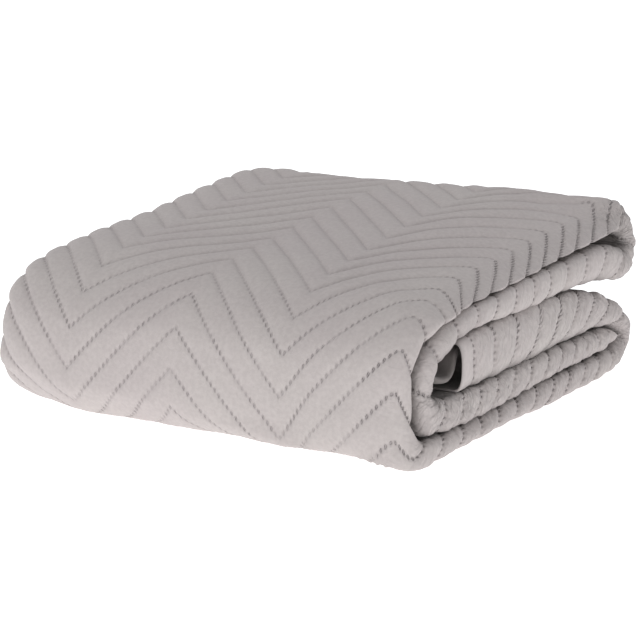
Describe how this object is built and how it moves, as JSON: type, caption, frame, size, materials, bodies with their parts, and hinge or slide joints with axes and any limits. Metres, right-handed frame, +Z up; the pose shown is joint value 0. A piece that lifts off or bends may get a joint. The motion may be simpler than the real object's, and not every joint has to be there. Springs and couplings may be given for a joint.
{
  "type": "folded quilted bedspread",
  "caption": "Quilted bedspread with zigzag channel stitching, folded over and over into a flat soft pack with rounded folds and an open folded end.",
  "frame": {"origin": "middle of the flat face it rests on, at the ground", "axes": "+Z up, the height of the pack; +X along the folds, towards the end where the folded layers show; -Y towards the rounded front fold"},
  "size_m": [0.49, 0.5118, 0.1879],
  "materials": {
    "quilted_cloth": "matt brushed microfibre, quilted with dotted zigzag seams"
  },
  "bodies": {
    "root": {"coverlet": "quilted_cloth"}
  },
  "joints": []
}
